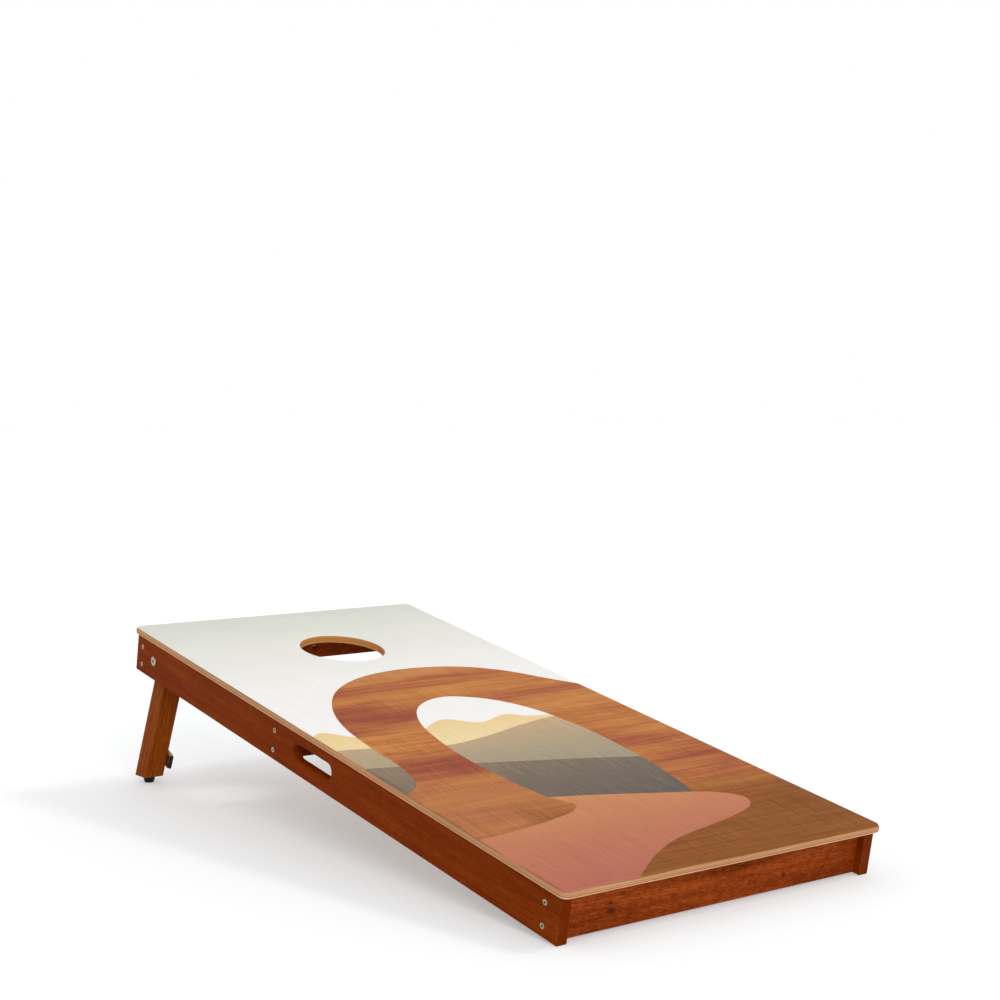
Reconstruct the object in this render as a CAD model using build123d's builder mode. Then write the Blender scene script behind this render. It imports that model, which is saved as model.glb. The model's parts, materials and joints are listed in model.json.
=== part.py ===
"""Cornhole board: a sloping plywood deck on a timber frame, with two folding back legs.

Millimetres, +Z up. The board stands on the ground at Z = 0 with its legs out. X runs across
the board, +Y runs up the slope towards the legs, and the origin is on the ground at the
middle of the object's box.
"""

import os
from math import asin, atan2, cos, degrees, hypot, radians, sin, tan

from build123d import *

# --- deck ---
DECK_WIDTH = 609.6
DECK_LENGTH = 1219.2
DECK_THICKNESS = 12.7
DECK_CORNER_RADIUS = 13.0
DECK_EDGE_ROUND = 5.0
HOLE_RADIUS = 76.2
HOLE_EDGE_ROUND = 4.0
HOLE_FROM_BACK = 228.6
SHEET_THICKNESS = 0.25
SHEET_INSET = 1.5
SHEET_REACH = 2.0

# --- slope of the deck when the legs are out ---
SLOPE = radians(10.5)

# --- timber frame ---
RAIL_DEPTH = 67.0
SIDE_RAIL_THICKNESS = 18.0
END_RAIL_THICKNESS = 38.0
BRACE_THICKNESS = 18.0
SIDE_OVERHANG = 6.0
BACK_OVERHANG = 8.0
FRONT_OVERHANG = 10.7
FRONT_RAIL_RECESS = 12.0
BRACE_FROM_BACK = 495.0
RAIL_EDGE_ROUND = 1.2

# --- hand slots in the side rails ---
SLOT_LENGTH = 110.0
SLOT_HEIGHT = 25.0
SLOT_DROP = 31.5
SLOT_ROUND = 4.0

# --- legs and their pivots ---
LEG_SIZE = 38.0
LEG_EDGE_ROUND = 2.5
PIVOT_FROM_BACK = 74.0
PIVOT_DROP = 32.7
STOP_GAP = 0.1
RUNNING_GAP = 0.2
PIVOT_RADIUS = 4.0
RUNNING_CLEARANCE = 0.06
BOLT_LENGTH = 70.0
BOLT_HEAD_RADIUS = 8.5
BOLT_HEAD_HEIGHT = 2.2
BOLT_RIM_ROUND = 1.0
BOLT_TIP_CHAMFER = 0.8
BOLT_SOCKET_FLATS = 5.0
BOLT_SOCKET_DEPTH = 3.2
WASHER_RADIUS = 9.5
WASHER_THICKNESS = 1.6
WASHER_CLEARANCE = 0.2
NUT_FLATS = 13.0
NUT_HEX_HEIGHT = 6.0
NUT_COLLAR_HEIGHT = 2.0
NUT_COLLAR_RADIUS = 5.8
NUT_CLEARANCE = 0.02

# --- rubber feet ---
FOOT_HEIGHT = 12.5
FOOT_TOP_RADIUS = 12.0
FOOT_BOTTOM_RADIUS = 8.5
FOOT_RECESS_RADIUS = 4.6
FOOT_RECESS_DEPTH = 6.0
FOOT_EDGE_ROUND = 1.0
FOOT_SCREW_RADIUS = 2.0
FOOT_SCREW_LENGTH = 28.0
FOOT_HEAD_HEIGHT = 2.6

# --- magnetic catches that hold the folded legs ---
CATCH_LENGTH = 27.0
CATCH_WIDTH = 7.0
CATCH_FROM_PIVOT = 206.5
CATCH_ON_LEG = 17.0
CATCH_PROUD = 8.0
CATCH_FLANGE_MARGIN = 4.0
CATCH_WALL = 1.2
CATCH_FLANGE_LENGTH = 45.0
CATCH_FLANGE_WIDTH = 12.0
CATCH_FLANGE_THICKNESS = 1.5
CATCH_SCREW_SPACING = 36.0
MAGNET_DEPTH = 10.0
MAGNET_CLEARANCE = 0.1
MAGNET_GAP = 0.3
PLATE_CORNER_RADIUS = 3.0
PLATE_HOLE_CLEARANCE = 0.1
STRIKE_LENGTH = 54.0
STRIKE_WIDTH = 14.0
STRIKE_THICKNESS = 1.5
STRIKE_SCREW_SPACING = 42.0

# --- wood screws: countersunk in the rails, slanting under the deck, small in the plates ---
SCREW_RADIUS = 2.1
SCREW_HEAD_RADIUS = 4.1
SCREW_LENGTH = 50.0
SCREW_POINT = 4.0
SCREW_TIP_RADIUS = 0.3
SCREW_CLEARANCE = 0.05
HEAD_SUNK = 0.3
HEAD_CLEARANCE = 0.1
HEAD_CONE = SCREW_HEAD_RADIUS - SCREW_RADIUS
SCREW_DROPS = (19.5, 52.0)
SQUARE_DRIVE = 3.0
SQUARE_DRIVE_DEPTH = 1.9
TOE_ANGLE = radians(15)
TOE_HEAD_RADIUS = 4.7
TOE_HEAD_HEIGHT = 2.4
TOE_HEAD_INSET = 2.0
TOE_SEAT_CLEARANCE = 0.4
TOE_BITE = 8.5
TOE_POINT = 3.0
TOE_OVERRUN = 1.5
TOE_FROM_FACE = 13.0
END_RAIL_TOES = (-180.0, -60.0, 60.0, 180.0)
BRACE_TOES = (-130.0, 130.0)
SIDE_RAIL_TOES = (150.0, 430.0, 790.0)
SMALL_SCREW_RADIUS = 1.5
SMALL_SCREW_LENGTH = 10.0
SMALL_SCREW_POINT = 2.0
SMALL_HEAD_RADIUS = 3.0
SMALL_HEAD_HEIGHT = 1.6
SMALL_DRIVE_LENGTH = 3.6
SMALL_DRIVE_WIDTH = 0.9

# --- places worked out in the plane of the slope: "along" runs up the deck from its low
# edge, and "depth" is measured at right angles to the deck's top, negative below it ---
rail_top = -DECK_THICKNESS
rail_bottom = rail_top - RAIL_DEPTH
rail_outer_x = DECK_WIDTH / 2 - SIDE_OVERHANG
rail_inner_x = rail_outer_x - SIDE_RAIL_THICKNESS
rail_front = FRONT_OVERHANG
rail_back = DECK_LENGTH - BACK_OVERHANG
front_rail_middle = rail_front + FRONT_RAIL_RECESS + END_RAIL_THICKNESS / 2
back_rail_middle = rail_back - END_RAIL_THICKNESS / 2
brace_middle = DECK_LENGTH - BRACE_FROM_BACK
pivot_along = DECK_LENGTH - PIVOT_FROM_BACK
pivot_depth = rail_top - PIVOT_DROP

# The leg leans back until its rear face meets the lower inner edge of the back rail.
stop_along = rail_back - END_RAIL_THICKNESS - pivot_along
stop_depth = rail_bottom - pivot_depth
stop_distance = hypot(stop_along, stop_depth)
leg_lean = atan2(stop_along, -stop_depth) - asin((LEG_SIZE / 2 + STOP_GAP) / stop_distance)
leg_tilt = leg_lean + SLOPE
fold_angle = degrees(leg_lean) + 90

# The front ends of the side rails and the soles of the feet all stand on Z = 0.
origin_z = -rail_front * sin(SLOPE) - rail_bottom * cos(SLOPE)
pivot_z = origin_z + pivot_along * sin(SLOPE) + pivot_depth * cos(SLOPE)
leg_reach = (pivot_z - FOOT_HEIGHT) / cos(leg_tilt)
front_extent = DECK_EDGE_ROUND * (cos(SLOPE) + sin(SLOPE) - 1)
pivot_run = pivot_along * cos(SLOPE) - pivot_depth * sin(SLOPE)
heel_reach = leg_reach + LEG_SIZE / 2 * tan(leg_tilt)
back_extent = pivot_run + heel_reach * sin(leg_tilt) + LEG_SIZE / 2 * cos(leg_tilt)
origin_y = -(front_extent + back_extent) / 2
pivot_y = origin_y + pivot_run

# The top face of the deck: x across, y up the slope, z out of the deck.
board = Plane(origin=(0, origin_y, origin_z), x_dir=(1, 0, 0), z_dir=(0, -sin(SLOPE), cos(SLOPE)))

leg_outer_x = rail_inner_x - WASHER_THICKNESS - RUNNING_GAP
leg_inner_x = leg_outer_x - LEG_SIZE
slot_middle = DECK_LENGTH / 2
screw_depths = [rail_top - drop for drop in SCREW_DROPS]
screw_alongs = (front_rail_middle, brace_middle, back_rail_middle)
cross_length = 2 * rail_inner_x

STOPS = Align.CENTER, Align.CENTER, Align.MAX
STARTS = Align.CENTER, Align.CENTER, Align.MIN
SIDES = (("left", -1), ("right", 1))


def outward(side, x):
    """Plane facing out of one side of the board: its x is side * along, its y is depth."""
    return Plane(
        origin=board.from_local_coords(Vector(side * x, 0, 0)),
        x_dir=board.y_dir * side,
        z_dir=(side, 0, 0),
    )


def leg_plane(x):
    """Plane across a leg: its x runs down the leg from the pivot, its y to the leg's rear."""
    return Plane(origin=(x, pivot_y, pivot_z), x_dir=(0, sin(leg_tilt), -cos(leg_tilt)), z_dir=(1, 0, 0))


def toe_plane(x, along, toward_x, toward_along):
    """Plane where a slanting deck screw crosses from the frame into the deck, z up the screw."""
    lean = board.x_dir * toward_x + board.y_dir * toward_along
    return Plane(
        origin=board.from_local_coords(Vector(x, along, rail_top)),
        z_dir=board.z_dir * cos(TOE_ANGLE) + lean * sin(TOE_ANGLE),
    )


def toe_grip(thickness):
    """Length of a slanting screw inside a rail, from under its head to the deck."""
    return (min(thickness / 2, TOE_FROM_FACE) - TOE_HEAD_INSET) / sin(TOE_ANGLE)


def cut_toe_holes(places, thickness):
    """Slanting screw holes with a shallow seat for each head, cut from the current part."""
    grip = toe_grip(thickness)
    with Locations(*places):
        with Locations((0, 0, TOE_OVERRUN)):
            Cylinder(SCREW_RADIUS + SCREW_CLEARANCE, grip + 2 * TOE_OVERRUN, align=STOPS, mode=Mode.SUBTRACT)
        with Locations((0, 0, -grip)):
            Cylinder(TOE_HEAD_RADIUS + TOE_SEAT_CLEARANCE, RAIL_DEPTH, align=STOPS, mode=Mode.SUBTRACT)


def add_toe_screws(places, thickness):
    """Washer-head screws with a square drive, standing in the slanting holes."""
    grip = toe_grip(thickness)
    with Locations(*places):
        with Locations((0, 0, -grip)):
            Cylinder(SCREW_RADIUS, grip + TOE_BITE - TOE_POINT, align=STARTS)
            Cylinder(TOE_HEAD_RADIUS, TOE_HEAD_HEIGHT, align=STOPS)
        with Locations((0, 0, TOE_BITE - TOE_POINT)):
            Cone(SCREW_RADIUS, SCREW_TIP_RADIUS, TOE_POINT, align=STARTS)
        with Locations((0, 0, -grip - TOE_HEAD_HEIGHT)):
            Box(SQUARE_DRIVE, SQUARE_DRIVE, SQUARE_DRIVE_DEPTH, align=STARTS, mode=Mode.SUBTRACT)


def add_small_screws(places, clearance=0.0, mode=Mode.ADD):
    """Small pan-head screws with a cross drive; each place lies under a head, z out of the head."""
    radius = SMALL_SCREW_RADIUS + clearance
    with Locations(*places):
        Cylinder(radius, SMALL_SCREW_LENGTH - SMALL_SCREW_POINT, align=STOPS, mode=mode)
        with Locations((0, 0, SMALL_SCREW_POINT - SMALL_SCREW_LENGTH)):
            Cone(SCREW_TIP_RADIUS, radius, SMALL_SCREW_POINT, align=STOPS, mode=mode)
        if mode == Mode.ADD:
            Cylinder(SMALL_HEAD_RADIUS, SMALL_HEAD_HEIGHT, align=STARTS)
            with Locations((0, 0, SMALL_HEAD_HEIGHT)):
                Box(SMALL_DRIVE_LENGTH, SMALL_DRIVE_WIDTH, SMALL_DRIVE_WIDTH, align=STOPS, mode=Mode.SUBTRACT)
                Box(SMALL_DRIVE_WIDTH, SMALL_DRIVE_LENGTH, SMALL_DRIVE_WIDTH, align=STOPS, mode=Mode.SUBTRACT)


def deck_outline(inset):
    """The deck's outline with its round corners and bag hole, drawn inset from every edge."""
    with Locations((0, DECK_LENGTH / 2)):
        RectangleRounded(DECK_WIDTH - 2 * inset, DECK_LENGTH - 2 * inset, DECK_CORNER_RADIUS - inset)
    with Locations((0, DECK_LENGTH - HOLE_FROM_BACK)):
        Circle(HOLE_RADIUS + inset, mode=Mode.SUBTRACT)


def rim_edges(part, top, hole):
    """Edges of the deck's top or bottom face: the hole's circle, or the outline around it."""
    face = part.faces().sort_by(Axis((0, 0, 0), tuple(board.z_dir)))[-1 if top else 0]
    corner_or_hole = face.edges().filter_by(GeomType.CIRCLE)
    hole_edges = corner_or_hole.filter_by(lambda edge: edge.radius > HOLE_RADIUS / 2)
    return hole_edges if hole else face.edges() - hole_edges


def save(part, name):
    """Label a finished part and write it as its own STEP file."""
    part.label = name
    export_step(part, f"parts/{name}.step")


os.makedirs("parts", exist_ok=True)

# --- places of the slanting screws that hold the deck from below ---
front_toe_along = front_rail_middle + END_RAIL_THICKNESS / 2 - TOE_FROM_FACE
back_toe_along = back_rail_middle - END_RAIL_THICKNESS / 2 + TOE_FROM_FACE
side_toe_x = rail_inner_x + SIDE_RAIL_THICKNESS / 2
front_toes = [toe_plane(x, front_toe_along, 0, -1) for x in END_RAIL_TOES]
back_toes = [toe_plane(x, back_toe_along, 0, 1) for x in END_RAIL_TOES]
brace_toes = [toe_plane(x, brace_middle, 0, 1) for x in BRACE_TOES]
side_toes = {
    side: [toe_plane(side * side_toe_x, along, side, 0) for along in SIDE_RAIL_TOES] for side in (-1, 1)
}
all_toes = back_toes + front_toes + brace_toes + side_toes[-1] + side_toes[1]

# --- places of the strike plates on the underside of the deck ---
strike_x = leg_inner_x - CATCH_WIDTH / 2
strike_along = pivot_along - CATCH_FROM_PIVOT
strike_depth = rail_top - STRIKE_THICKNESS


def strike_screw_plane(side, end):
    """Plane under the head of one strike plate screw, facing down from the plate."""
    along = strike_along + end * STRIKE_SCREW_SPACING / 2
    return Plane(origin=board.from_local_coords(Vector(side * strike_x, along, strike_depth)), z_dir=-board.z_dir)


strike_screws = {side: [strike_screw_plane(side, end) for end in (-1, 1)] for side in (-1, 1)}

# --- deck: plywood sheet with rounded edges and the bag hole ---
with BuildPart() as deck:
    with BuildSketch(board):
        deck_outline(0)
    extrude(amount=-DECK_THICKNESS)
    fillet(rim_edges(deck, top=True, hole=False), radius=DECK_EDGE_ROUND)
    fillet(rim_edges(deck, top=False, hole=False), radius=DECK_EDGE_ROUND)
    fillet(rim_edges(deck, top=True, hole=True), radius=HOLE_EDGE_ROUND)
    with Locations(*all_toes):
        with Locations((0, 0, -TOE_OVERRUN)):
            toe_hole_depth = TOE_OVERRUN + TOE_BITE + HEAD_SUNK
            Cylinder(SCREW_RADIUS + SCREW_CLEARANCE, toe_hole_depth, align=STARTS, mode=Mode.SUBTRACT)
    for side in (-1, 1):
        add_small_screws(strike_screws[side], clearance=SCREW_CLEARANCE, mode=Mode.SUBTRACT)
save(deck.part, "deck")

# --- printed sheet: a film on the deck's top that turns down over its rounded edges ---
with BuildPart() as film_surface:
    with BuildSketch(board.offset(SHEET_THICKNESS)):
        deck_outline(-SHEET_THICKNESS)
    extrude(amount=-SHEET_THICKNESS - DECK_THICKNESS / 2)
    fillet(rim_edges(film_surface, top=True, hole=False), radius=DECK_EDGE_ROUND + SHEET_THICKNESS)
    fillet(rim_edges(film_surface, top=True, hole=True), radius=HOLE_EDGE_ROUND + SHEET_THICKNESS)
with BuildPart() as printed_sheet:
    with BuildSketch(board.offset(-SHEET_REACH)):
        deck_outline(SHEET_INSET)
    extrude(amount=SHEET_REACH + 2 * SHEET_THICKNESS)
    add(deck.part, mode=Mode.SUBTRACT)
    add(film_surface.part, mode=Mode.INTERSECT)
save(printed_sheet.part, "printed_sheet")

# --- side rails with hand slot, screw holes and pivot hole ---
for name, side in SIDES:
    face = outward(side, rail_outer_x)
    with BuildPart() as side_rail:
        with BuildSketch(board.offset(rail_top)):
            with Locations((side * (rail_outer_x + rail_inner_x) / 2, (rail_front + rail_back) / 2)):
                Rectangle(SIDE_RAIL_THICKNESS, rail_back - rail_front)
        extrude(amount=-RAIL_DEPTH)
        low_face = side_rail.faces().sort_by(Axis((0, 0, 0), tuple(board.z_dir)))[0]
        fillet(low_face.edges().filter_by(Axis((0, 0, 0), tuple(board.y_dir))), radius=RAIL_EDGE_ROUND)
        with BuildSketch(face):
            with Locations((side * slot_middle, rail_top - SLOT_DROP)):
                SlotOverall(SLOT_LENGTH, SLOT_HEIGHT)
        extrude(amount=-SIDE_RAIL_THICKNESS, mode=Mode.SUBTRACT)
        slot_arcs = side_rail.edges().filter_by(GeomType.CIRCLE)
        slot_arcs = slot_arcs.filter_by(lambda edge: abs(edge.radius - SLOT_HEIGHT / 2) < 0.01)
        fillet(slot_arcs, radius=SLOT_ROUND)
        with Locations(face):
            with Locations(*[(side * along, depth) for along in screw_alongs for depth in screw_depths]):
                seat_radius = SCREW_HEAD_RADIUS + HEAD_SUNK + HEAD_CLEARANCE
                CounterSinkHole(SCREW_RADIUS + SCREW_CLEARANCE, seat_radius, counter_sink_angle=90)
            with Locations((side * pivot_along, pivot_depth)):
                Hole(PIVOT_RADIUS + SCREW_CLEARANCE)
        cut_toe_holes(side_toes[side], SIDE_RAIL_THICKNESS)
    save(side_rail.part, f"side_rail_{name}")

# --- cross pieces between the side rails: both end rails and the brace ---
for name, middle, thickness, toes in (
    ("front_rail", front_rail_middle, END_RAIL_THICKNESS, front_toes),
    ("mid_brace", brace_middle, BRACE_THICKNESS, brace_toes),
    ("back_rail", back_rail_middle, END_RAIL_THICKNESS, back_toes),
):
    with BuildPart() as cross_piece:
        with BuildSketch(board.offset(rail_top)):
            with Locations((0, middle)):
                Rectangle(cross_length, thickness)
        extrude(amount=-RAIL_DEPTH)
        low_face = cross_piece.faces().sort_by(Axis((0, 0, 0), tuple(board.z_dir)))[0]
        fillet(low_face.edges().filter_by(Axis.X), radius=RAIL_EDGE_ROUND)
        for side in (-1, 1):
            with Locations(outward(side, rail_inner_x)):
                with Locations(*[(side * middle, depth) for depth in screw_depths]):
                    Hole(SCREW_RADIUS + SCREW_CLEARANCE, depth=SCREW_LENGTH - SIDE_RAIL_THICKNESS + HEAD_SUNK)
        cut_toe_holes(toes, thickness)
    save(cross_piece.part, name)

# --- countersunk screws through the side rails into the cross pieces ---
for name, side in SIDES:
    with BuildPart() as rail_screws:
        with Locations(outward(side, rail_outer_x - HEAD_SUNK)):
            with Locations(*[(side * along, depth) for along in screw_alongs for depth in screw_depths]):
                Cone(SCREW_RADIUS, SCREW_HEAD_RADIUS, HEAD_CONE, align=STOPS)
                with Locations((0, 0, -HEAD_CONE)):
                    Cylinder(SCREW_RADIUS, SCREW_LENGTH - HEAD_CONE - SCREW_POINT, align=STOPS)
                with Locations((0, 0, SCREW_POINT - SCREW_LENGTH)):
                    Cone(SCREW_TIP_RADIUS, SCREW_RADIUS, SCREW_POINT, align=STOPS)
                Box(SQUARE_DRIVE, SQUARE_DRIVE, SQUARE_DRIVE_DEPTH, align=STOPS, mode=Mode.SUBTRACT)
    save(rail_screws.part, f"rail_screws_{name}")

# --- slanting screws that hold the deck, one group for each piece of the frame ---
for name, places, thickness in (
    ("deck_screws_back", back_toes, END_RAIL_THICKNESS),
    ("deck_screws_front", front_toes, END_RAIL_THICKNESS),
    ("deck_screws_brace", brace_toes, BRACE_THICKNESS),
    ("deck_screws_left", side_toes[-1], SIDE_RAIL_THICKNESS),
    ("deck_screws_right", side_toes[1], SIDE_RAIL_THICKNESS),
):
    with BuildPart() as deck_screws:
        add_toe_screws(places, thickness)
    save(deck_screws.part, name)

# --- folding legs with their pivots, feet and catches ---
foot_y = pivot_y + leg_reach * sin(leg_tilt)
magnet_face = PIVOT_DROP - STRIKE_THICKNESS - MAGNET_GAP
leg_axis = Axis((0, 0, 0), (0, sin(leg_tilt), -cos(leg_tilt)))
catch_flange_middle = LEG_SIZE / 2 - CATCH_FLANGE_MARGIN - CATCH_FLANGE_WIDTH / 2
foot_screw_bite = FOOT_SCREW_LENGTH - FOOT_HEIGHT + FOOT_RECESS_DEPTH

for name, side in SIDES:
    leg_low_x = min(side * leg_outer_x, side * leg_inner_x)
    inner_face = Plane(
        origin=(side * leg_inner_x, pivot_y, pivot_z),
        x_dir=(0, sin(leg_tilt), -cos(leg_tilt)),
        z_dir=(-side, 0, 0),
    )
    # On the leg's inner face the leg's front lies at +y for the right leg and -y for the left.
    catch_screws_at = [
        (CATCH_FROM_PIVOT + end * CATCH_SCREW_SPACING / 2, side * catch_flange_middle)
        for end in (-1, 1)
    ]
    catch_screw_planes = [
        Plane(inner_face.location * Location((along, across, CATCH_FLANGE_THICKNESS)))
        for along, across in catch_screws_at
    ]
    foot_centre = (side * (leg_outer_x + leg_inner_x) / 2, foot_y)

    with BuildPart() as leg:
        with BuildSketch(leg_plane(leg_low_x)):
            with BuildLine():
                half = LEG_SIZE / 2
                Polyline(
                    (0, -half),
                    (leg_reach - half * tan(leg_tilt), -half),
                    (leg_reach + half * tan(leg_tilt), half),
                    (0, half),
                )
                ThreePointArc((0, half), (-half, 0), (0, -half))
            make_face()
        extrude(amount=LEG_SIZE)
        fillet(leg.edges().filter_by(leg_axis), radius=LEG_EDGE_ROUND)
        with Locations(leg_plane(leg_low_x + LEG_SIZE)):
            Hole(PIVOT_RADIUS + RUNNING_CLEARANCE)
        add_small_screws(catch_screw_planes, clearance=SCREW_CLEARANCE, mode=Mode.SUBTRACT)
        with Locations((*foot_centre, FOOT_HEIGHT)):
            foot_hole_depth = 2 * (foot_screw_bite + HEAD_SUNK)
            Cylinder(FOOT_SCREW_RADIUS + SCREW_CLEARANCE, foot_hole_depth, mode=Mode.SUBTRACT)
    save(leg.part, f"leg_{name}")

    # Flat-head bolt with a hexagon socket, its head on the outside of the side rail.
    with BuildPart() as pivot_bolt:
        with Locations(outward(side, rail_outer_x)):
            with Locations((side * pivot_along, pivot_depth)):
                Cylinder(BOLT_HEAD_RADIUS, BOLT_HEAD_HEIGHT, align=STARTS)
                Cylinder(PIVOT_RADIUS, BOLT_LENGTH, align=STOPS)
        rims = pivot_bolt.edges().filter_by(GeomType.CIRCLE).sort_by(Axis((0, 0, 0), (side, 0, 0)))
        fillet(rims[-1], radius=BOLT_RIM_ROUND)
        chamfer(rims[0], length=BOLT_TIP_CHAMFER)
        with BuildSketch(outward(side, rail_outer_x + BOLT_HEAD_HEIGHT)):
            with Locations((side * pivot_along, pivot_depth)):
                RegularPolygon(BOLT_SOCKET_FLATS / 2, 6, major_radius=False)
        extrude(amount=-BOLT_SOCKET_DEPTH, mode=Mode.SUBTRACT)
    save(pivot_bolt.part, f"pivot_bolt_{name}")

    for washer_name, washer_x in (
        ("spacer_washer", rail_inner_x),
        ("nut_washer", leg_inner_x - RUNNING_GAP),
    ):
        with BuildPart() as washer:
            with BuildSketch(outward(side, washer_x)):
                with Locations((side * pivot_along, pivot_depth)):
                    Circle(WASHER_RADIUS)
                    Circle(PIVOT_RADIUS + WASHER_CLEARANCE, mode=Mode.SUBTRACT)
            extrude(amount=-WASHER_THICKNESS)
        save(washer.part, f"{washer_name}_{name}")

    # Lock nut: hexagon with a round collar, clamped against the inner washer.
    nut_x = leg_inner_x - RUNNING_GAP - WASHER_THICKNESS
    with BuildPart() as lock_nut:
        with BuildSketch(outward(side, nut_x)):
            with Locations((side * pivot_along, pivot_depth)):
                RegularPolygon(NUT_FLATS / 2, 6, major_radius=False)
                Circle(PIVOT_RADIUS + NUT_CLEARANCE, mode=Mode.SUBTRACT)
        extrude(amount=-NUT_HEX_HEIGHT)
        with BuildSketch(outward(side, nut_x - NUT_HEX_HEIGHT)):
            with Locations((side * pivot_along, pivot_depth)):
                Circle(NUT_COLLAR_RADIUS)
                Circle(PIVOT_RADIUS + NUT_CLEARANCE, mode=Mode.SUBTRACT)
        extrude(amount=-NUT_COLLAR_HEIGHT)
    save(lock_nut.part, f"lock_nut_{name}")

    # Tapered rubber foot under the leg, with its screw head up inside the sole.
    with BuildPart() as rubber_foot:
        with BuildSketch(Plane(origin=(*foot_centre, 0), x_dir=(1, 0, 0), z_dir=(0, -1, 0))):
            with BuildLine():
                Polyline(
                    (FOOT_RECESS_RADIUS, 0),
                    (FOOT_BOTTOM_RADIUS, 0),
                    (FOOT_TOP_RADIUS, FOOT_HEIGHT),
                    (FOOT_SCREW_RADIUS + SCREW_CLEARANCE, FOOT_HEIGHT),
                    (FOOT_SCREW_RADIUS + SCREW_CLEARANCE, FOOT_RECESS_DEPTH),
                    (FOOT_RECESS_RADIUS, FOOT_RECESS_DEPTH),
                    close=True,
                )
            make_face()
        revolve(axis=Axis((*foot_centre, 0), (0, 0, 1)))
        sole_edges = rubber_foot.edges().filter_by(GeomType.CIRCLE).group_by(Axis.Z)[0]
        fillet(sole_edges.sort_by(SortBy.RADIUS)[-1], radius=FOOT_EDGE_ROUND)
    save(rubber_foot.part, f"rubber_foot_{name}")

    with BuildPart() as foot_screw:
        with Locations((*foot_centre, FOOT_RECESS_DEPTH)):
            Cylinder(SCREW_HEAD_RADIUS, FOOT_HEAD_HEIGHT, align=STOPS)
            Cylinder(FOOT_SCREW_RADIUS, FOOT_SCREW_LENGTH - TOE_POINT, align=STARTS)
        with Locations((*foot_centre, FOOT_RECESS_DEPTH + FOOT_SCREW_LENGTH - TOE_POINT)):
            Cone(FOOT_SCREW_RADIUS, SCREW_TIP_RADIUS, TOE_POINT, align=STARTS)
        with Locations((*foot_centre, FOOT_RECESS_DEPTH - FOOT_HEAD_HEIGHT)):
            Box(SQUARE_DRIVE, SQUARE_DRIVE, SQUARE_DRIVE_DEPTH, align=STARTS, mode=Mode.SUBTRACT)
    save(foot_screw.part, f"foot_screw_{name}")

    # Catch on the leg's inner face: a flanged metal housing that reaches past the leg's front.
    housing_front = LEG_SIZE / 2 + CATCH_PROUD
    with BuildPart() as catch_housing:
        with BuildSketch(inner_face):
            with Locations((CATCH_FROM_PIVOT, side * (housing_front - (CATCH_ON_LEG + CATCH_PROUD) / 2))):
                Rectangle(CATCH_LENGTH, CATCH_ON_LEG + CATCH_PROUD)
        extrude(amount=CATCH_WIDTH)
        with BuildSketch(inner_face):
            with Locations((CATCH_FROM_PIVOT, catch_screws_at[0][1])):
                RectangleRounded(CATCH_FLANGE_LENGTH, CATCH_FLANGE_WIDTH, PLATE_CORNER_RADIUS)
        extrude(amount=CATCH_FLANGE_THICKNESS)
        with BuildSketch(inner_face.offset(CATCH_WALL)):
            with Locations((CATCH_FROM_PIVOT, side * (housing_front - MAGNET_DEPTH / 2))):
                Rectangle(CATCH_LENGTH - 2 * CATCH_WALL, MAGNET_DEPTH)
        extrude(amount=CATCH_WIDTH - 2 * CATCH_WALL, mode=Mode.SUBTRACT)
        with Locations(*catch_screw_planes):
            Cylinder(SMALL_SCREW_RADIUS + PLATE_HOLE_CLEARANCE, SMALL_SCREW_LENGTH, mode=Mode.SUBTRACT)
    save(catch_housing.part, f"catch_housing_{name}")

    magnet_back = housing_front - MAGNET_DEPTH
    magnet_length = CATCH_LENGTH - 2 * (CATCH_WALL + MAGNET_CLEARANCE)
    with BuildPart() as catch_magnet:
        with BuildSketch(inner_face.offset(CATCH_WALL + MAGNET_CLEARANCE)):
            with Locations((CATCH_FROM_PIVOT, side * (magnet_face + magnet_back) / 2)):
                Rectangle(magnet_length, magnet_face - magnet_back)
        extrude(amount=CATCH_WIDTH - 2 * (CATCH_WALL + MAGNET_CLEARANCE))
    save(catch_magnet.part, f"catch_magnet_{name}")

    with BuildPart() as catch_screws:
        add_small_screws(catch_screw_planes)
    save(catch_screws.part, f"catch_screws_{name}")

    # Steel strike plate under the deck, where the magnet arrives when the leg is folded.
    with BuildPart() as strike_plate:
        with BuildSketch(board.offset(rail_top)):
            with Locations((side * strike_x, strike_along)):
                RectangleRounded(STRIKE_WIDTH, STRIKE_LENGTH, PLATE_CORNER_RADIUS)
        extrude(amount=-STRIKE_THICKNESS)
        with Locations(*strike_screws[side]):
            Cylinder(SMALL_SCREW_RADIUS + PLATE_HOLE_CLEARANCE, SMALL_SCREW_LENGTH, mode=Mode.SUBTRACT)
    save(strike_plate.part, f"strike_plate_{name}")

    with BuildPart() as strike_screw_pair:
        add_small_screws(strike_screws[side])
    save(strike_screw_pair.part, f"strike_screws_{name}")

print(f"leg lean from the deck's normal {degrees(leg_lean):.2f}, folding range {fold_angle:.2f} degrees")
print(f"pivot at Y {pivot_y:.3f} Z {pivot_z:.3f}, leg reach {leg_reach:.2f}, foot at Y {foot_y:.3f}")
hole_centre = board.from_local_coords(Vector(0, DECK_LENGTH - HOLE_FROM_BACK, -HOLE_EDGE_ROUND))
print(f"bag hole wall starts at {hole_centre.X:.2f} {hole_centre.Y:.3f} {hole_centre.Z:.3f}")
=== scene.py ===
"""Looks of a cornhole board: plywood deck with a printed desert picture, stained timber frame
and folding legs. Metres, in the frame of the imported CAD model."""

import json
import math

import bmesh
import bpy
from mathutils import Matrix, Vector
from mathutils.geometry import delaunay_2d_cdt


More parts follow.
